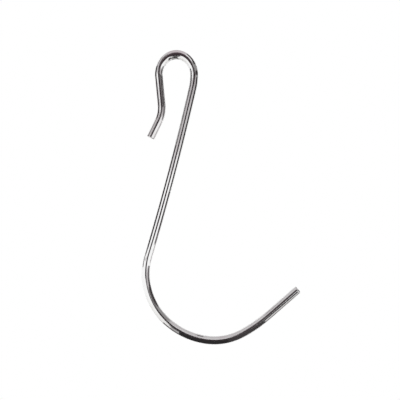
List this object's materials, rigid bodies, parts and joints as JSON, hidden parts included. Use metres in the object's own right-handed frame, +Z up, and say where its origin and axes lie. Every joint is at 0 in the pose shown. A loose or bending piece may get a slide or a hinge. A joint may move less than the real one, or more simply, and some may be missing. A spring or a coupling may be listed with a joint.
{
  "type": "s hook",
  "caption": "Wire S hook: a narrow loop drops over a rail, and a long leaning shank carries a wide open hook for the load.",
  "frame": {"origin": "middle of the rail loop: the centre of its half-round crown, on the middle plane of the wire", "axes": "+Z up, from the load hook towards the loop; +Y along the rail that the loop hangs on, square to the plane of the hook; +X from the loop towards the open end of the load hook"},
  "size_m": [0.0793, 0.004, 0.1472],
  "materials": {
    "chromed_wire": "bright polished plating over drawn round steel wire, with fine drawing marks along it"
  },
  "bodies": {
    "root": {"hook": "chromed_wire"}
  },
  "joints": []
}
